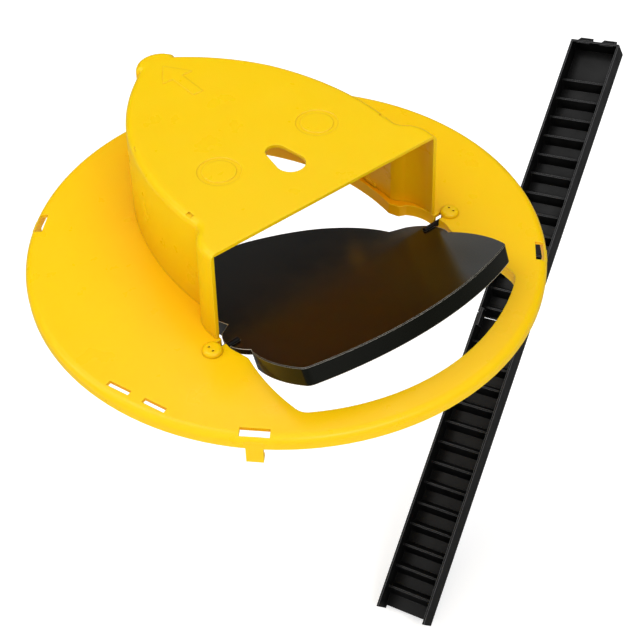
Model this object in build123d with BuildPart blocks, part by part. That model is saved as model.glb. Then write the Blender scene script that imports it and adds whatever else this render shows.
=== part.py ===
"""Flip plate mouse trap for a bucket: a lid with a hood, a balanced plate, and a plug-together ramp.

Millimetres. The origin is on the lid's axis, at the plane where the lid sits on the bucket's rim.
+X runs along the plate's pivot, -Y is the open front where the mouse walks on, +Z is up.
"""

import os

from math import cos, radians, sin, sqrt

from build123d import *

# Lid
LID_R = 157.5
LID_T = 2.5
SKIRT_DEPTH = 6.0
SKIRT_WALL = 2.2
RIM_ROUND = 5.0
OPENING_FRONT_R = 140.0
OPENING_HALF_WIDTH = 81.5
OPENING_LIP = 8.0
LIP_WALL = 2.0
SNAP_R = 152.8
SNAP_SLOT = (16.2, 5.2)
SNAP_TAB_WIDTH = 9.4
SNAP_TAB_DEPTH = 17.0
SNAP_BARB = 2.4
RAMP_SLOT_ANGLE = 198.9
RAMP_SLOT_R = 149.4
RAMP_SLOT = (14.6, 3.4)
RAMP_SLOT_PITCH = 23.6

# Hood
HOOD_HEIGHT = 60.0
HOOD_WALL = 2.2
HOOD_FRONT_Y = -42.0
HOOD_DRAFT = 2.2
HOOD_EDGE_ROUND = 4.5
ROOF_RING_R = 12.8
ROOF_RING_WIDTH = 3.0
ROOF_RING_PLACES = ((-35.9, 13.8), (35.9, 13.8))
EMBOSS = 0.4
ARROW = ((0, 122), (-11, 106), (-3.5, 106), (-3.5, 84), (3.5, 84), (3.5, 106), (11, 106))
LUG_WINDOWS = ((71.6, -6.0, 90.0), (62.4, 63.5, 113.0), (12.6, 134.6, 145.0))
LUG_WINDOW = (4.6, 5.0, 1.3)
FOOT_TABS = ((-73.3, 5.0, 90.0), (73.3, 5.0, 90.0), (0.0, 140.9, 0.0))
FOOT_TAB = (9.0, 1.8, 7.0)
TAB_GAP = 0.3

# Pivot
AXIS_Y = -46.0
AXIS_Z = LID_T - 5.0
PIN_R = 1.7
PIN_IN_X = 71.8
PIN_OUT_X = 90.5
RUNNING_GAP = 0.06
NOTCH_GAP = 0.5
NOTCH_X = (80.0, 90.0)
CAP_PLACE = (91.0, -48.0)
CAP_SHANK_R = 5.0
CAP_SHANK_DEPTH = 9.0
CAP_HEAD_R = 5.8
CAP_HEIGHT = 2.8
CAP_EYE_R = 0.7
CAP_GAP = 0.1

# Flip plate, in its own frame: the pivot is its origin, and it is level there
PLATE_TILT = 26.0
PLATE_TOP = -0.4
PLATE_T = 2.0
PLATE_SKIRT = 11.0
PLATE_WALL = 1.8
PLATE_EDGE = 0.5
EAR_T = 3.4
EAR_X = 67.0
EAR_FRONT_Y = -18.5
EAR_REAR_Y = 22.5
RIB_T = 1.4
RIB_DEPTH = 5.0
RIB_Y = 30.0
RIB_LENGTH = 130.0
RIB_SPAN = 156.0
RIB_XS = (-36.0, 0.0, 36.0)
WEIGHT = (46.0, 12.0, 5.0)
WEIGHT_Y = -62.0
POCKET_WALL = 2.0
COVER_T = 1.6
COVER_OVERLAP = 9.0
SCREW_X = 29.0
SCREW_R = 1.5
SCREW_HEAD_R = 2.8
SCREW_HEAD = 1.5
SCREW_LENGTH = 7.0

# Ramp, in its own frame: its foot is the origin, +Y runs up along it
RAMP_HEADING = 64.0
RAMP_INCLINE = 33.1
RAMP_ROLL = 11.7
RAMP_FOOT = (72.0, -52.9, -453.2)
RAMP_WIDTH = 48.0
RAMP_DEPTH = 20.0
RAMP_WALL = 1.8
RAMP_FLOOR = 1.8
SECTION_LENGTH = 286.5
SECTION_GAP = 0.8
STEP_PITCH = 20.0
STEP_COUNT = 13
STEP_HEIGHT = 9.5
STEP_PROFILE = ((-6.0, 0.0), (-0.8, STEP_HEIGHT), (0.8, STEP_HEIGHT), (4.2, 0.0))
LOWER_FIRST_STEP = 20.5
UPPER_FIRST_STEP = 7.5
FOOT_TIP = 3.0
TONGUE_ROOT = 12.0
TONGUE_TIP = 5.0
TONGUE_T = 2.4
JOINT_GAP = 0.3
HOOK = (12.6, 12.0, 2.0)
HOOK_BEND = 48.0
HOOK_LIP = 2.0


def out(part, name):
    part.label = name
    export_step(part, f"parts/{name}.step")


def polar(radius, angle):
    return (radius * cos(radians(angle)), radius * sin(radians(angle)))


def opening_face(grow):
    """Outline of the lid's opening: a pointed arch behind the pivot, an arc near the rim in front."""
    corner_y = -sqrt(OPENING_FRONT_R**2 - OPENING_HALF_WIDTH**2)
    with BuildSketch() as sketch:
        with BuildLine():
            ThreePointArc(
                (-OPENING_HALF_WIDTH, corner_y),
                (0, -OPENING_FRONT_R),
                (OPENING_HALF_WIDTH, corner_y),
            )
            for side in (-1, 1):
                ThreePointArc((side * OPENING_HALF_WIDTH, corner_y), (side * 82.6, -88), (side * 79, -65))
                Line((side * 79, -65), (side * 82.2, -53))
                Line((side * 82.2, -53), (side * 81.6, -40))
                ThreePointArc((side * 81.6, -40), (side * 79.6, -31.5), (side * 75.5, -25.5))
                Line((side * 75.5, -25.5), (side * 71, -23.5))
                Line((side * 71, -23.5), (side * 68.6, -17))
                ThreePointArc((side * 68.6, -17), (side * 67.5, 30), (side * 50, 75))
                ThreePointArc((side * 50, 75), (side * 29, 104), (side * 6, 127))
            ThreePointArc((6, 127), (0, 129), (-6, 127))
        make_face()
        corners = sketch.vertices().filter_by_position(Axis.Y, corner_y - 1, corner_y + 1)
        fillet(corners, radius=9.0)
        shoulders = sketch.vertices().filter_by_position(Axis.Y, -66, -16)
        fillet(shoulders, radius=2.5)
        if grow:
            offset(amount=grow)
    return sketch.sketch


def hood_outline(plane, front_y, inset):
    """Outline of the hood: a pointed arch with a proud lobe at the foot of each side."""
    with BuildSketch(plane) as sketch:
        with BuildLine():
            Line((-84 + inset, front_y), (84 - inset, front_y))
            for side in (-1, 1):
                front = (side * (84 - inset), front_y)
                lobe = (side * (84 - inset), -37)
                waist = (side * (79.8 - inset), -21.5)
                wall = (side * (74.6 - inset), -14)
                shoulder = (side * (56.5 - 0.9 * inset), 82 - 0.4 * inset)
                cheek = (side * (15 - 0.7 * inset), 130.3 - 0.7 * inset)
                nose = (side * (16 - 0.7 * inset), 132.6 - 0.7 * inset)
                Line(front, lobe)
                ThreePointArc(lobe, (side * (83.2 - inset), -28), waist)
                ThreePointArc(waist, (side * (76.4 - inset), -18.3), wall)
                ThreePointArc(wall, (side * (72.2 - inset), 36), shoulder)
                ThreePointArc(shoulder, (side * (35 - 0.75 * inset), 112 - 0.6 * inset), cheek)
                Line(cheek, nose)
            ThreePointArc(nose, (0, 143 - inset), (-nose[0], nose[1]))
        make_face()
    return sketch.sketch


def egg_face(big_r, big_y, small_r, small_y):
    with BuildSketch() as sketch:
        with Locations((0, big_y)):
            Circle(big_r)
        with Locations((0, small_y)):
            Circle(small_r)
        make_hull()
    return sketch.sketch


def plate_face():
    """Outline of the flip plate in its own frame, with an ear at each end of the pivot."""
    with BuildSketch() as sketch:
        with BuildLine():
            ThreePointArc((-74.5, -69), (0, -85.5), (74.5, -69))
            for side in (-1, 1):
                ThreePointArc((side * 74.5, -69), (side * 79, -46), (side * 77, EAR_FRONT_Y - 3))
                Line((side * 77, EAR_FRONT_Y - 3), (side * 75.5, EAR_FRONT_Y))
                ThreePointArc((side * 75.5, EAR_FRONT_Y), (side * 79, -1), (side * 72, 18.5))
                ThreePointArc((side * 72, 18.5), (side * 68, 21.5), (side * 63.5, 25))
                ThreePointArc((side * 63.5, 25), (side * 60.5, 58), (side * 50, 88))
                ThreePointArc((side * 50, 88), (side * 37.5, 107.5), (side * 20, 126))
            ThreePointArc((20, 126), (0, 134), (-20, 126))
        make_face()
        fillet(sketch.vertices().filter_by_position(Axis.Y, -70, -68), radius=6.0)
    return sketch.sketch


def plate_body_face(shrink):
    """Outline of the plate's deep skirt, which leaves out the thin ears."""
    ear_length = EAR_REAR_Y - EAR_FRONT_Y
    with BuildSketch() as sketch:
        add(plate_face())
        for side in (-1, 1):
            with Locations((side * (EAR_X + EAR_X / 2), (EAR_REAR_Y + EAR_FRONT_Y) / 2)):
                Rectangle(EAR_X, ear_length, mode=Mode.SUBTRACT)
        if shrink:
            offset(amount=-shrink)
    return sketch.sketch


def bearing_cap(side):
    """Round plug beside one leg of the hood: a low head, and a shank with the pin's blind bore."""
    place = (side * CAP_PLACE[0], CAP_PLACE[1])
    bore_from = CAP_PLACE[0] - CAP_SHANK_R - 1
    with BuildPart() as cap:
        with BuildSketch(Plane.XY.offset(LID_T)):
            with Locations(place):
                Circle(CAP_HEAD_R)
        extrude(amount=CAP_HEIGHT)
        fillet(cap.edges().group_by(Axis.Z)[-1], radius=CAP_HEIGHT - 0.5)
        with BuildSketch(Plane.XY.offset(LID_T - CAP_SHANK_DEPTH)):
            with Locations(place):
                Circle(CAP_SHANK_R)
        extrude(amount=CAP_SHANK_DEPTH)
        with BuildSketch(Plane.YZ.offset(side * bore_from)):
            with Locations((AXIS_Y, AXIS_Z)):
                Circle(PIN_R + RUNNING_GAP)
        extrude(amount=side * (PIN_OUT_X - bore_from + 0.4), mode=Mode.SUBTRACT)
        with BuildSketch(Plane.XY.offset(LID_T + CAP_HEIGHT)):
            with Locations((place[0] + side, place[1] - 2.2), (place[0] + side, place[1] + 1.6)):
                Circle(CAP_EYE_R)
        extrude(amount=-1.2, mode=Mode.SUBTRACT)
    return cap.part


def pin_shaft(side, plane):
    with BuildPart() as pin:
        with BuildSketch(plane):
            Circle(PIN_R)
        extrude(amount=side * (PIN_OUT_X - PIN_IN_X))
        chamfer(pin.edges().filter_by(GeomType.CIRCLE), length=0.3)
    return pin.part


def trough(plane, first_step, closed_top):
    """The body of one ramp section: a floor, two side walls and low ridges across it."""
    inner = RAMP_WIDTH - 2 * RAMP_WALL
    inner_length = SECTION_LENGTH - RAMP_WALL if closed_top else SECTION_LENGTH
    with BuildPart() as section:
        with BuildSketch(plane):
            Rectangle(RAMP_WIDTH, SECTION_LENGTH, align=(Align.CENTER, Align.MIN))
        extrude(amount=RAMP_DEPTH)
        with BuildSketch(plane.offset(RAMP_FLOOR)):
            Rectangle(inner, inner_length, align=(Align.CENTER, Align.MIN))
        extrude(amount=RAMP_DEPTH, mode=Mode.SUBTRACT)
        with BuildSketch(Plane(origin=plane.origin, x_dir=plane.y_dir, z_dir=plane.x_dir)):
            for step in range(STEP_COUNT):
                with Locations((first_step + step * STEP_PITCH, RAMP_FLOOR)):
                    Polygon(*STEP_PROFILE, align=None)
        extrude(amount=inner / 2, both=True)
    return section.part


os.makedirs("parts", exist_ok=True)

pivot_left = Plane(origin=(-PIN_IN_X, AXIS_Y, AXIS_Z), x_dir=(0, 1, 0), z_dir=(1, 0, 0))
pivot_right = Plane(origin=(PIN_IN_X, AXIS_Y, AXIS_Z), x_dir=(0, 1, 0), z_dir=(1, 0, 0))
plate_plane = Plane(
    origin=(0, AXIS_Y, AXIS_Z),
    x_dir=(1, 0, 0),
    z_dir=(0, sin(radians(PLATE_TILT)), cos(radians(PLATE_TILT))),
)
roll_cos, roll_sin = cos(radians(RAMP_ROLL)), sin(radians(RAMP_ROLL))
plate_up = Axis((0, AXIS_Y, AXIS_Z), tuple(plate_plane.z_dir))
up_ramp = Vector(
    sin(radians(RAMP_HEADING)) * cos(radians(RAMP_INCLINE)),
    cos(radians(RAMP_HEADING)) * cos(radians(RAMP_INCLINE)),
    sin(radians(RAMP_INCLINE)),
)
level_across = Vector(cos(radians(RAMP_HEADING)), -sin(radians(RAMP_HEADING)), 0)
across_ramp = level_across * roll_cos + level_across.cross(up_ramp) * roll_sin
ramp_normal = across_ramp.cross(up_ramp)
ramp_foot = Vector(*RAMP_FOOT) - ramp_normal * RAMP_DEPTH
lower_plane = Plane(origin=ramp_foot, x_dir=across_ramp, z_dir=ramp_normal)
upper_foot = ramp_foot + up_ramp * (SECTION_LENGTH + SECTION_GAP)
upper_plane = Plane(origin=upper_foot, x_dir=across_ramp, z_dir=ramp_normal)

opening = opening_face(0)
opening_rim = opening_face(LIP_WALL)

# Lid: a flat disc with a turned-down rim, a lipped opening, four snap tabs and two ramp slots.
with BuildPart() as lid:
    with BuildSketch(Plane.XY.offset(-SKIRT_DEPTH)):
        Circle(LID_R)
    extrude(amount=SKIRT_DEPTH + LID_T)
    fillet(lid.edges().group_by(Axis.Z)[-1], radius=RIM_ROUND)
    with BuildSketch(Plane.XY.offset(-SKIRT_DEPTH)):
        Circle(LID_R - SKIRT_WALL)
    extrude(amount=SKIRT_DEPTH, mode=Mode.SUBTRACT)
    with BuildSketch(Plane.XY.offset(LID_T - OPENING_LIP)):
        add(opening_rim)
    extrude(amount=OPENING_LIP)
    with BuildSketch(Plane.XY.offset(LID_T)):
        add(opening)
    extrude(amount=-OPENING_LIP - 1, mode=Mode.SUBTRACT)
    for quarter in range(4):
        angle = 45 + 90 * quarter
        radial = Plane(origin=(*polar(SNAP_R, angle), 0), x_dir=(*polar(1, angle), 0), z_dir=(0, 0, 1))
        with BuildSketch(radial.offset(-1)):
            Rectangle(SNAP_SLOT[1], SNAP_SLOT[0])
        extrude(amount=LID_T + 2, mode=Mode.SUBTRACT)
        with BuildSketch(radial.offset(-SNAP_TAB_DEPTH)):
            with Locations((LID_R - SNAP_R - SKIRT_WALL / 2, 0)):
                Rectangle(SKIRT_WALL, SNAP_TAB_WIDTH)
        extrude(amount=SNAP_TAB_DEPTH - 1)
        with BuildSketch(radial.offset(-SNAP_TAB_DEPTH)):
            with Locations((LID_R - SNAP_R - SKIRT_WALL - SNAP_BARB / 2, 0)):
                Rectangle(SNAP_BARB, SNAP_TAB_WIDTH)
        extrude(amount=3.0)
    for x, y, angle in FOOT_TABS:
        with BuildSketch(Plane.XY.offset(LID_T)):
            with Locations(Location((x, y), angle)):
                Rectangle(FOOT_TAB[0] + 2 * TAB_GAP, FOOT_TAB[1] + 2 * TAB_GAP)
        extrude(amount=-LID_T - 1, mode=Mode.SUBTRACT)
    slots = Plane(
        origin=(*polar(RAMP_SLOT_R, RAMP_SLOT_ANGLE), LID_T),
        x_dir=(*polar(1, RAMP_SLOT_ANGLE - 90), 0),
        z_dir=(0, 0, 1),
    )
    with BuildSketch(slots):
        with GridLocations(RAMP_SLOT_PITCH, 1, 2, 1):
            Rectangle(*RAMP_SLOT)
    extrude(amount=-LID_T - 1, mode=Mode.SUBTRACT)
    for side in (-1, 1):
        notch_from, notch_to = NOTCH_X
        notch_r = PIN_R + NOTCH_GAP
        with BuildSketch(Plane.XY.offset(AXIS_Z)):
            with Locations((side * (notch_from + notch_to) / 2, AXIS_Y)):
                Rectangle(notch_to - notch_from, 2 * notch_r)
        extrude(amount=LID_T - AXIS_Z + 1, mode=Mode.SUBTRACT)
        with BuildSketch(Plane.YZ.offset(side * notch_from)):
            with Locations((AXIS_Y, AXIS_Z)):
                Circle(notch_r)
        extrude(amount=side * (notch_to - notch_from), mode=Mode.SUBTRACT)
        with BuildSketch(Plane.XY.offset(LID_T)):
            with Locations((side * CAP_PLACE[0], CAP_PLACE[1])):
                Circle(CAP_SHANK_R + CAP_GAP)
        extrude(amount=-LID_T - 1, mode=Mode.SUBTRACT)
out(lid.part, "lid")

# Hood: a snap-on arch with a flat roof, open to the front and below.
with BuildPart() as hood:
    add(hood_outline(Plane.XY.offset(LID_T), HOOD_FRONT_Y, 0))
    add(hood_outline(Plane.XY.offset(LID_T + HOOD_HEIGHT), HOOD_FRONT_Y + 1.5, HOOD_DRAFT))
    loft(ruled=True)
    roof_edges = hood.edges().group_by(Axis.Z)[-1].sort_by(Axis.Y)[1:]
    fillet(roof_edges, radius=HOOD_EDGE_ROUND)
    add(hood_outline(Plane.XY.offset(LID_T), HOOD_FRONT_Y - 10, HOOD_WALL))
    ceiling = Plane.XY.offset(LID_T + HOOD_HEIGHT - HOOD_WALL)
    add(hood_outline(ceiling, HOOD_FRONT_Y - 10, HOOD_WALL + HOOD_DRAFT))
    loft(ruled=True, mode=Mode.SUBTRACT)
    with BuildSketch(Plane.XY.offset(LID_T + HOOD_HEIGHT)):
        add(egg_face(8.7, -6.0, 6.4, 7.4))
    extrude(amount=-HOOD_WALL - 1, mode=Mode.SUBTRACT)
    with BuildSketch(Plane.XY.offset(LID_T + HOOD_HEIGHT)):
        for place in ROOF_RING_PLACES:
            with Locations(place):
                Circle(ROOF_RING_R)
                Circle(ROOF_RING_R - ROOF_RING_WIDTH, mode=Mode.SUBTRACT)
    extrude(amount=-EMBOSS, mode=Mode.SUBTRACT)
    for x, y, angle in LUG_WINDOWS:
        with BuildSketch(Plane.XY.offset(LID_T + HOOD_HEIGHT)):
            with Locations(Location((x, y), angle), Location((-x, y), 180 - angle)):
                Rectangle(LUG_WINDOW[0], LUG_WINDOW[1])
        extrude(amount=-LUG_WINDOW[2], mode=Mode.SUBTRACT)
    with BuildSketch(Plane.XY.offset(LID_T + HOOD_HEIGHT)):
        with BuildLine():
            Polyline(*ARROW, close=True)
        make_face()
    extrude(amount=EMBOSS)
    for x, y, angle in FOOT_TABS:
        with BuildSketch(Plane.XY.offset(LID_T + 3)):
            with Locations(Location((x, y), angle)):
                Rectangle(FOOT_TAB[0], FOOT_TAB[1])
        extrude(amount=-FOOT_TAB[2] - 3)
out(hood.part, "hood")

# Bearing caps: plugs in the lid beside the legs that hold the pins' outer ends.
for side, name in ((-1, "bearing_cap_left"), (1, "bearing_cap_right")):
    out(bearing_cap(side), name)

# Flip plate: a shallow tray turned upside down, with thin ears that carry the pins in grooves.
with BuildPart() as flip_plate:
    with BuildSketch(plate_plane.offset(PLATE_TOP - EAR_T)):
        add(plate_face())
    extrude(amount=EAR_T)
    top_edges = flip_plate.faces().sort_by(plate_up)[-1].edges()
    chamfer(top_edges.sort_by(Axis.Y)[:5], length=PLATE_EDGE)
    with BuildSketch(plate_plane.offset(PLATE_TOP - PLATE_SKIRT)):
        add(plate_body_face(0))
    extrude(amount=PLATE_SKIRT - EAR_T)
    with BuildSketch(plate_plane.offset(PLATE_TOP - PLATE_SKIRT)):
        add(plate_body_face(PLATE_WALL))
    extrude(amount=PLATE_SKIRT - PLATE_T, mode=Mode.SUBTRACT)
    with BuildSketch(plate_plane.offset(PLATE_TOP - PLATE_SKIRT + 3)):
        with Locations((0, WEIGHT_Y)):
            Rectangle(WEIGHT[0] + 2 * POCKET_WALL, WEIGHT[1] + 2 * POCKET_WALL)
            Rectangle(WEIGHT[0], WEIGHT[1], mode=Mode.SUBTRACT)
        with Locations((-SCREW_X, WEIGHT_Y), (SCREW_X, WEIGHT_Y)):
            Circle(SCREW_HEAD_R + 1)
            Circle(SCREW_R, mode=Mode.SUBTRACT)
    extrude(amount=PLATE_SKIRT - 3 - PLATE_T / 2)
    with BuildSketch(plate_plane.offset(PLATE_TOP - PLATE_T - RIB_DEPTH)):
        for rib_x in RIB_XS:
            with Locations((rib_x, RIB_Y)):
                Rectangle(RIB_T, RIB_LENGTH)
        with Locations((0, -30)):
            Rectangle(RIB_SPAN, RIB_T)
    extrude(amount=RIB_DEPTH + PLATE_T / 2)
    for pivot, side in ((pivot_left, -1), (pivot_right, 1)):
        with BuildSketch(pivot):
            Circle(PIN_R)
        extrude(amount=side * (PIN_OUT_X - PIN_IN_X), mode=Mode.SUBTRACT)
out(flip_plate.part, "flip_plate")

# Pivot pins: pressed into the plate's ears, turning in the bearing caps.
out(pin_shaft(-1, pivot_left), "pivot_pin_left")
out(pin_shaft(1, pivot_right), "pivot_pin_right")

# Return weight: a steel bar in a pocket under the front of the plate that brings it back to level.
with BuildPart() as return_weight:
    with BuildSketch(plate_plane.offset(PLATE_TOP - PLATE_T - WEIGHT[2])):
        with Locations((0, WEIGHT_Y)):
            Rectangle(WEIGHT[0], WEIGHT[1])
    extrude(amount=WEIGHT[2])
out(return_weight.part, "return_weight")

# Weight cover: closes the weight's pocket from below.
cover_plane = plate_plane.offset(PLATE_TOP - PLATE_SKIRT + 3 - COVER_T)
with BuildPart() as weight_cover:
    with BuildSketch(cover_plane):
        with Locations((0, WEIGHT_Y)):
            RectangleRounded(2 * SCREW_X + COVER_OVERLAP, WEIGHT[1] + 2 * POCKET_WALL, 4)
        with Locations((-SCREW_X, WEIGHT_Y), (SCREW_X, WEIGHT_Y)):
            Circle(SCREW_R, mode=Mode.SUBTRACT)
    extrude(amount=COVER_T)
out(weight_cover.part, "weight_cover")

# Weight screws: two pan heads under the cover.
with BuildPart() as weight_screws:
    with BuildSketch(cover_plane):
        with Locations((-SCREW_X, WEIGHT_Y), (SCREW_X, WEIGHT_Y)):
            Circle(SCREW_HEAD_R)
    extrude(amount=-SCREW_HEAD)
    with BuildSketch(cover_plane):
        with Locations((-SCREW_X, WEIGHT_Y), (SCREW_X, WEIGHT_Y)):
            Circle(SCREW_R)
    extrude(amount=SCREW_LENGTH)
out(weight_screws.part, "weight_screws")

# Lower ramp section: open at the foot, with a latch tongue inside each wall at its top end.
with BuildPart() as ramp_lower:
    add(trough(lower_plane, LOWER_FIRST_STEP, False))
    with BuildSketch(lower_plane):
        Rectangle(RAMP_WIDTH - 2 * RAMP_WALL, FOOT_TIP, align=(Align.CENTER, Align.MIN))
    extrude(amount=RAMP_FLOOR, mode=Mode.SUBTRACT)
    tongue_x = RAMP_WIDTH / 2 - RAMP_WALL - JOINT_GAP - TONGUE_T / 2
    tongue_base = RAMP_FLOOR + STEP_HEIGHT + JOINT_GAP
    with BuildSketch(lower_plane.offset(tongue_base)):
        for side in (-1, 1):
            with Locations((side * (tongue_x + JOINT_GAP / 2), SECTION_LENGTH - TONGUE_ROOT)):
                Rectangle(TONGUE_T + JOINT_GAP, TONGUE_ROOT, align=(Align.CENTER, Align.MIN))
            with Locations((side * tongue_x, SECTION_LENGTH)):
                Rectangle(TONGUE_T, TONGUE_TIP, align=(Align.CENTER, Align.MIN))
    extrude(amount=RAMP_DEPTH - tongue_base)
out(ramp_lower.part, "ramp_lower")

# Upper ramp section: an end wall with two bent hooks, lipped at their tips, for the lid's slots.
hook_width, hook_reach, hook_t = HOOK
hook_root = upper_plane.from_local_coords(Vector(0, SECTION_LENGTH - RAMP_WALL / 2, RAMP_DEPTH))
hook_normal = ramp_normal * cos(radians(HOOK_BEND)) + up_ramp * sin(radians(HOOK_BEND))
hook_plane = Plane(origin=hook_root, x_dir=across_ramp, z_dir=hook_normal)
with BuildPart() as ramp_upper:
    add(trough(upper_plane, UPPER_FIRST_STEP, True))
    with BuildSketch(hook_plane):
        with GridLocations(RAMP_SLOT_PITCH, 1, 2, 1):
            Rectangle(hook_width, hook_reach, align=(Align.CENTER, Align.MIN))
    extrude(amount=-hook_t)
    with BuildSketch(hook_plane):
        with GridLocations(RAMP_SLOT_PITCH, 1, 2, 1):
            with Locations((0, hook_reach - hook_t)):
                Rectangle(hook_width, hook_t, align=(Align.CENTER, Align.MIN))
    extrude(amount=-hook_t - HOOK_LIP)
out(ramp_upper.part, "ramp_upper")
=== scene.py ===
"""Looks of the bucket lid mouse trap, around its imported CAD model.

Lengths are in metres unless a comment says otherwise.
"""

from math import cos, radians, sin

import bpy
from mathutils import Matrix, Vector


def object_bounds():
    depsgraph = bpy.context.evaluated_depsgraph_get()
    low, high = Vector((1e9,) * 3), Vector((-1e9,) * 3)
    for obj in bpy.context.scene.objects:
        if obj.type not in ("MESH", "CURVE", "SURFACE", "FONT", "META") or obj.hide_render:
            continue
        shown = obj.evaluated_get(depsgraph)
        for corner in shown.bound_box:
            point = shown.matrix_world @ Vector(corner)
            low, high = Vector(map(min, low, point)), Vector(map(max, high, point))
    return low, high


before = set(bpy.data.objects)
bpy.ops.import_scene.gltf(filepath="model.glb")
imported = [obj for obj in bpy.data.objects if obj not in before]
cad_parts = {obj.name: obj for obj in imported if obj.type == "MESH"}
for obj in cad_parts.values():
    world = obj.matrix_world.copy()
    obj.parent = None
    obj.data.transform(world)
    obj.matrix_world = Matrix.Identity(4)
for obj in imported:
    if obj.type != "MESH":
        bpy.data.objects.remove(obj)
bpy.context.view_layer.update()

# Camera: angles in degrees, lens and sensor in millimetres. It aims at the middle of the lid's top,
# moved right and up in the picture.
CAMERA_AZIMUTH = 39.6
CAMERA_ELEVATION = 45.5
CAMERA_ROLL = -0.42
CAMERA_DISTANCE = 0.7006
CAMERA_LENS = 64.72
SENSOR_WIDTH = 36
CLIP_END = 20
AIM_RIGHT = 0.0202
AIM_UP = -0.0509
LID_TOP = 0.0025

# Studio: the tent's strength and its level on the dim side, and the floor's own glow.
TENT = 1.0
DIM_SIDE = 0.05
BRIGHT_SIDE = (-0.38, -0.34, 0.86)
FLOOR_SIZE = 12
FLOOR_GLOW = 0.50

# Area lights: name, place, what it points at, width and height, watts.
LIGHTS = (
    ("key", (-0.6, 0.7, 1.95), (0, 0, -0.1), (1.2, 1.2), 11),
    ("rim_front", (-0.4, -1.6, 1.4), (0, -0.1, 0), (1.2, 0.25), 11),
    ("left_strip", (-1.5, 1.1, 1.0), (-0.05, 0, 0.03), (0.18, 1.0), 4.5),
    ("corner", (0.95, 1.10, 0.12), (0.07, -0.1, 0), (0.3, 0.4), 0.25),
    ("sheen", (0.70, 0.68, 1.45), (-0.04, -0.10, 0), (0.9, 0.4), 2.4),
)

# Samples for each look-up of the bevel and occlusion nodes.
LOOKUP_SAMPLES = 8

# Linear colours.
YELLOW = (0.955, 0.600, 0.0016)
# Painted highlight along the yellow edges; the scuffs use the same pale yellow.
YELLOW_HIGHLIGHT_AND_SCUFF = (1.000, 0.640, 0.020)
# Painted shade: the deeper yellow laid in the corners of the lid and hood.
YELLOW_CORNER_SHADE = (0.800, 0.430, 0.0005)
# Painted shade: the deep orange laid inside the hood.
YELLOW_INSIDE_SHADE = (0.960, 0.400, 0.0005)
# Painted shade: the dark brown laid in seams and tight creases.
SEAM_SHADE_BROWN = (0.30, 0.115, 0.002)
# Painted highlight along the flip plate's edges.
EDGE_HIGHLIGHT_BEIGE = (0.70, 0.65, 0.54)
PLATE_DARK = (0.0032, 0.0036, 0.0022)
PLATE_LIGHT = (0.0052, 0.0058, 0.0034)
ZINC_DARK = (0.38, 0.39, 0.40)
ZINC_LIGHT = (0.56, 0.56, 0.55)
# Painted shade: the near-black laid in the corners of the matt black pieces.
CORNER_SHADE_BLACK = (0.0005, 0.0005, 0.0005)
FLOOR_REFLECTED = (0.22, 0.22, 0.22)
WHITE = (1.0, 1.0, 1.0)

# Roughness in the corners of the matt black pieces, as a grey level.
DUSTY = (0.9, 0.9, 0.9)


# ---------------------------------------------------------------- node helpers

def new_material(name):
    material = bpy.data.materials.new(name)
    material.use_nodes = True
    tree = material.node_tree
    return material, tree, tree.nodes["Principled BSDF"]


def link(tree, out_socket, in_socket):
    tree.links.new(out_socket, in_socket)


def position(tree, scale=(1, 1, 1)):
    """Place on the piece, stretched along an axis by a scale below 1."""
    coordinates = tree.nodes.new("ShaderNodeTexCoord")
    mapping = tree.nodes.new("ShaderNodeMapping")
    mapping.inputs["Scale"].default_value = scale
    link(tree, coordinates.outputs["Object"], mapping.inputs["Vector"])
    return mapping.outputs["Vector"]


def noise(tree, vector, scale, detail, roughness=0.5):
    node = tree.nodes.new("ShaderNodeTexNoise")
    node.inputs["Scale"].default_value = scale
    node.inputs["Detail"].default_value = detail
    node.inputs["Roughness"].default_value = roughness
    link(tree, vector, node.inputs["Vector"])
    return node.outputs["Fac"]


def opaque(colour):
    """A colour, or a grey level, with its alpha."""
    channels = colour if isinstance(colour, tuple) else (colour,) * 3
    return channels + (1,)


def ramp(tree, value, start, end):
    """Runs from one colour to another between two places along a value; each is (place, colour)."""
    node = tree.nodes.new("ShaderNodeValToRGB")
    for element, (place, colour) in zip(node.color_ramp.elements, (start, end)):
        element.position = place
        element.color = opaque(colour)
    link(tree, value, node.inputs["Fac"])
    return node.outputs["Color"]


def mix(tree, factor, first, second):
    """First where the factor is 0 and second where it is 1. Each of them is a socket or a colour."""
    node = tree.nodes.new("ShaderNodeMix")
    node.data_type = "RGBA"
    link(tree, factor, node.inputs["Factor"])
    for name, value in (("A", first), ("B", second)):
        if isinstance(value, tuple):
            node.inputs[name].default_value = opaque(value)
        else:
            link(tree, value, node.inputs[name])
    return node.outputs["Result"]


def bump(tree, shader, height, strength, distance, after):
    """Bumps laid over the normal that comes in as after, and given to the shader."""
    node = tree.nodes.new("ShaderNodeBump")
    node.inputs["Strength"].default_value = strength
    node.inputs["Distance"].default_value = distance
    link(tree, height, node.inputs["Height"])
    link(tree, after, node.inputs["Normal"])
    link(tree, node.outputs["Normal"], shader.inputs["Normal"])
    return node.outputs["Normal"]


def rounded(tree, radius):
    """Normal that runs smoothly round each sharp edge."""
    bevel = tree.nodes.new("ShaderNodeBevel")
    bevel.samples = LOOKUP_SAMPLES
    bevel.inputs["Radius"].default_value = radius
    return bevel.outputs["Normal"]


def edge_mask(tree, radius, low, high):
    """White along sharp edges, black elsewhere."""
    geometry = tree.nodes.new("ShaderNodeNewGeometry")
    product = tree.nodes.new("ShaderNodeVectorMath")
    product.operation = "DOT_PRODUCT"
    link(tree, rounded(tree, radius), product.inputs[0])
    link(tree, geometry.outputs["True Normal"], product.inputs[1])
    return ramp(tree, product.outputs["Value"], (low, 1.0), (high, 0.0))


def crevice(tree, distance, low, high):
    """White in the open, black where other surfaces are close by."""
    occlusion = tree.nodes.new("ShaderNodeAmbientOcclusion")
    occlusion.samples = LOOKUP_SAMPLES
    occlusion.inputs["Distance"].default_value = distance
    return ramp(tree, occlusion.outputs["AO"], (low, 0.0), (high, 1.0))


# ---------------------------------------------------------------- materials

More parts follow.
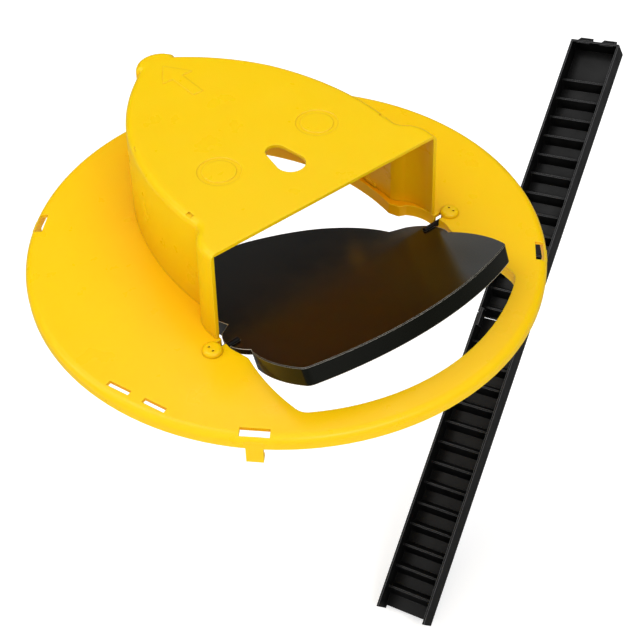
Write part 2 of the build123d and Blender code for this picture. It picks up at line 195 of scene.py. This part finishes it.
def moulded_yellow(name):
    """Satin polypropylene with flow clouds, scuffs and grain; painted shade makes it deeper in its
    corners, seams and hollows, and a painted highlight makes it paler on its edges.
    """
    material, tree, shader = new_material(name)
    place = position(tree)

    clouds = noise(tree, place, scale=11, detail=3)
    cloud_dark = tuple(channel * 0.97 for channel in YELLOW)
    colour = ramp(tree, clouds, (0.30, cloud_dark), (0.70, YELLOW))

    # Painted shade: deeper yellow wherever other surfaces are near.
    corner_shade = crevice(tree, distance=0.055, low=0.35, high=1.00)
    colour = mix(tree, corner_shade, YELLOW_CORNER_SHADE, colour)
    # Painted shade: deeper orange inside the hood, where other surfaces are near; right beside
    # another surface, as at a small step, this painted shade is left off.
    beside = crevice(tree, distance=0.008, low=0.30, high=0.70)
    clear_of_inside_shade = mix(tree, beside, WHITE, crevice(tree, distance=0.140, low=0.18, high=0.46))
    colour = mix(tree, clear_of_inside_shade, YELLOW_INSIDE_SHADE, colour)
    # Painted shade: dark brown where another surface is within a couple of millimetres.
    seam_shade = crevice(tree, distance=0.0016, low=0.30, high=0.62)
    colour = mix(tree, seam_shade, SEAM_SHADE_BROWN, colour)

    scuffs = noise(tree, position(tree, (1.0, 0.3, 1.0)), scale=240, detail=6, roughness=0.7)
    # Painted highlight: pale yellow along sharp edges.
    highlit_edges = edge_mask(tree, radius=0.0007, low=0.90, high=0.99)
    colour = mix(tree, highlit_edges, colour, YELLOW_HIGHLIGHT_AND_SCUFF)
    colour = mix(tree, ramp(tree, scuffs, (0.62, 0.0), (0.82, 0.15)), colour, YELLOW_HIGHLIGHT_AND_SCUFF)
    link(tree, colour, shader.inputs["Base Color"])

    polish = noise(tree, place, scale=55, detail=4)
    link(tree, ramp(tree, polish, (0.3, 0.26), (0.7, 0.36)), shader.inputs["Roughness"])
    shader.inputs["Specular IOR Level"].default_value = 0.25
    shader.inputs["Subsurface Weight"].default_value = 0.30
    shader.inputs["Subsurface Radius"].default_value = (1.0, 0.55, 0.12)
    shader.inputs["Subsurface Scale"].default_value = 0.005

    grain = noise(tree, place, scale=2600, detail=2)
    fine = bump(tree, shader, grain, strength=0.05, distance=0.0001, after=rounded(tree, 0.0006))
    waves = noise(tree, place, scale=9, detail=2)
    bump(tree, shader, waves, strength=0.06, distance=0.002, after=fine)
    return material


def gloss_black(name):
    """Polished black polypropylene: a painted highlight pale along its edges, fine scratches and a
    few dull smears.
    """
    material, tree, shader = new_material(name)
    place = position(tree)

    smears = noise(tree, position(tree, (1.0, 0.35, 1.0)), scale=26, detail=4)
    scratches = noise(tree, position(tree, (1.0, 0.02, 1.0)), scale=900, detail=3)
    clouds = noise(tree, place, scale=18, detail=3)
    body = ramp(tree, clouds, (0.3, PLATE_DARK), (0.7, PLATE_LIGHT))
    # Painted highlight: pale beige along the plate's sharp edges.
    highlit_edges = edge_mask(tree, radius=0.0008, low=0.84, high=0.975)
    link(tree, mix(tree, highlit_edges, body, EDGE_HIGHLIGHT_BEIGE), shader.inputs["Base Color"])

    link(tree, ramp(tree, smears, (0.35, 0.16), (0.75, 0.26)), shader.inputs["Roughness"])
    shader.inputs["Specular IOR Level"].default_value = 0.21

    fine = bump(tree, shader, scratches, strength=0.02, distance=0.00004, after=rounded(tree, 0.0005))
    waves = noise(tree, place, scale=12, detail=1)
    bump(tree, shader, waves, strength=0.05, distance=0.001, after=fine)
    return material


def matt_black(name, low=0.003, high=0.007, rough=(0.32, 0.46), rub_and_highlight=0.15):
    """Matt black polypropylene: painted shade black in its corners, greyer on its edges for rubbing
    and a painted highlight, with grain.

    The body runs from grey level low to high, and its edges go to the given edge grey level, partly
    rubbed wear and partly a painted highlight.
    """
    material, tree, shader = new_material(name)
    place = position(tree)

    clouds = noise(tree, place, scale=30, detail=4)
    body = ramp(tree, clouds, (0.3, low), (0.75, high))
    # Edges lightened, partly rubbed wear and partly a painted highlight on the rung tops.
    highlit_edges = edge_mask(tree, radius=0.0007, low=0.86, high=0.98)
    rubbed_and_highlit = mix(tree, highlit_edges, body, (rub_and_highlight, rub_and_highlight, rub_and_highlight * 1.03))
    # Painted shade: near-black where other surfaces are close by.
    corner_shade = crevice(tree, distance=0.014, low=0.50, high=0.92)
    link(tree, mix(tree, corner_shade, CORNER_SHADE_BLACK, rubbed_and_highlit), shader.inputs["Base Color"])

    polish = noise(tree, place, scale=60, detail=3)
    open_rough = ramp(tree, polish, (0.3, rough[0]), (0.7, rough[1]))
    dust_traps = crevice(tree, distance=0.010, low=0.30, high=0.80)
    link(tree, mix(tree, dust_traps, DUSTY, open_rough), shader.inputs["Roughness"])
    shader.inputs["Specular IOR Level"].default_value = 0.17

    grain = noise(tree, place, scale=1500, detail=3)
    bump(tree, shader, grain, strength=0.12, distance=0.0001, after=rounded(tree, 0.0005))
    return material


def plated_steel(name):
    """Zinc plated steel with drawn lines and cloudy passivation."""
    material, tree, shader = new_material(name)
    place = position(tree)

    drawn = noise(tree, position(tree, (0.04, 1, 1)), scale=1200, detail=2)
    clouds = noise(tree, place, scale=90, detail=4)
    colour = ramp(tree, clouds, (0.3, ZINC_DARK), (0.7, ZINC_LIGHT))
    link(tree, colour, shader.inputs["Base Color"])
    shader.inputs["Metallic"].default_value = 1.0

    polish = noise(tree, place, scale=160, detail=3)
    link(tree, ramp(tree, polish, (0.3, 0.28), (0.7, 0.44)), shader.inputs["Roughness"])
    bump(tree, shader, drawn, strength=0.15, distance=0.0001, after=rounded(tree, 0.0003))
    return material


def pale_floor(name):
    """White floor that glows a little, and shows dim in the reflections on the object."""
    material, tree, shader = new_material(name)
    path = tree.nodes.new("ShaderNodeLightPath")
    reflected = path.outputs["Is Glossy Ray"]
    clouds = noise(tree, position(tree), scale=3, detail=2)
    cloudy = ramp(tree, clouds, (0.3, 0.80), (0.7, 0.82))
    link(tree, mix(tree, reflected, cloudy, FLOOR_REFLECTED), shader.inputs["Base Color"])
    shader.inputs["Roughness"].default_value = 0.9
    shader.inputs["Specular IOR Level"].default_value = 0.1
    link(tree, ramp(tree, reflected, (0.0, 1.0), (1.0, 0.0)), shader.inputs["Emission Color"])
    shader.inputs["Emission Strength"].default_value = FLOOR_GLOW
    return material


def dress(node, material):
    """Give the piece this material alone."""
    mesh = bpy.data.objects[node].data
    mesh.materials.clear()
    mesh.materials.append(material)


# ---------------------------------------------------------------- camera, light, floor

def camera_axes():
    """Right, up and forward of a camera that looks down at the lid from its front left."""
    azimuth = radians(CAMERA_AZIMUTH)
    elevation = radians(CAMERA_ELEVATION)
    roll = radians(CAMERA_ROLL)
    right = Vector((cos(azimuth), -sin(azimuth), 0))
    reach = cos(elevation)
    forward = Vector((sin(azimuth) * reach, cos(azimuth) * reach, -sin(elevation)))
    up = right.cross(forward)
    rolled_right = right * cos(roll) + up * sin(roll)
    rolled_up = up * cos(roll) - right * sin(roll)
    return rolled_right, rolled_up, forward


def add_camera():
    right, up, forward = camera_axes()
    aim = right * AIM_RIGHT + up * AIM_UP + Vector((0, 0, LID_TOP))
    data = bpy.data.cameras.new("camera")
    data.lens = CAMERA_LENS
    data.sensor_width = SENSOR_WIDTH
    data.clip_end = CLIP_END
    camera = bpy.data.objects.new("camera", data)
    turn = Matrix((right, up, -forward)).transposed().to_4x4()
    camera.matrix_world = Matrix.Translation(aim - forward * CAMERA_DISTANCE) @ turn
    bpy.context.scene.collection.objects.link(camera)
    bpy.context.scene.camera = camera


def add_area_light(name, place, target, size, power):
    data = bpy.data.lights.new(name, "AREA")
    data.shape = "RECTANGLE"
    data.size, data.size_y = size
    data.energy = power
    light = bpy.data.objects.new(name, data)
    light.location = place
    light.visible_camera = False
    light.rotation_euler = (Vector(target) - Vector(place)).to_track_quat("-Z", "Y").to_euler()
    bpy.context.scene.collection.objects.link(light)


def add_floor():
    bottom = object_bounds()[0][2]
    bpy.ops.mesh.primitive_plane_add(size=FLOOR_SIZE, location=(0, 0, bottom))
    floor = bpy.context.object
    floor.name = "floor"
    floor.data.materials.append(pale_floor("pale_floor"))


def add_world():
    """A soft white tent, brightest overhead and to the front left, dim at the back."""
    world = bpy.data.worlds.new("studio")
    bpy.context.scene.world = world
    world.use_nodes = True
    tree = world.node_tree
    coordinates = tree.nodes.new("ShaderNodeTexCoord")
    towards = tree.nodes.new("ShaderNodeVectorMath")
    towards.operation = "DOT_PRODUCT"
    link(tree, coordinates.outputs["Generated"], towards.inputs[0])
    towards.inputs[1].default_value = BRIGHT_SIDE
    glow = ramp(tree, towards.outputs["Value"], (0.05, DIM_SIDE), (0.9, 1.0))
    path = tree.nodes.new("ShaderNodeLightPath")
    backdrop = mix(tree, path.outputs["Is Camera Ray"], glow, WHITE)
    background = tree.nodes["Background"]
    link(tree, backdrop, background.inputs["Color"])
    background.inputs["Strength"].default_value = TENT


# ---------------------------------------------------------------- the object

yellow = moulded_yellow("moulded_yellow")
for node in ("lid", "hood", "bearing_cap_left", "bearing_cap_right"):
    dress(node, yellow)
dress("flip_plate", gloss_black("gloss_black"))
pin_black = matt_black("pin_black", low=0.006, high=0.010, rough=(0.22, 0.34), rub_and_highlight=0.03)
for node in ("pivot_pin_left", "pivot_pin_right", "weight_cover"):
    dress(node, pin_black)
ramp_black = matt_black("ramp_black")
for node in ("ramp_lower", "ramp_upper"):
    dress(node, ramp_black)
steel = plated_steel("plated_steel")
for node in ("return_weight", "weight_screws"):
    dress(node, steel)

add_camera()
add_floor()
add_world()
for name, place, target, size, power in LIGHTS:
    add_area_light(name, place, target, size, power)
bpy.context.scene.view_settings.view_transform = "Standard"
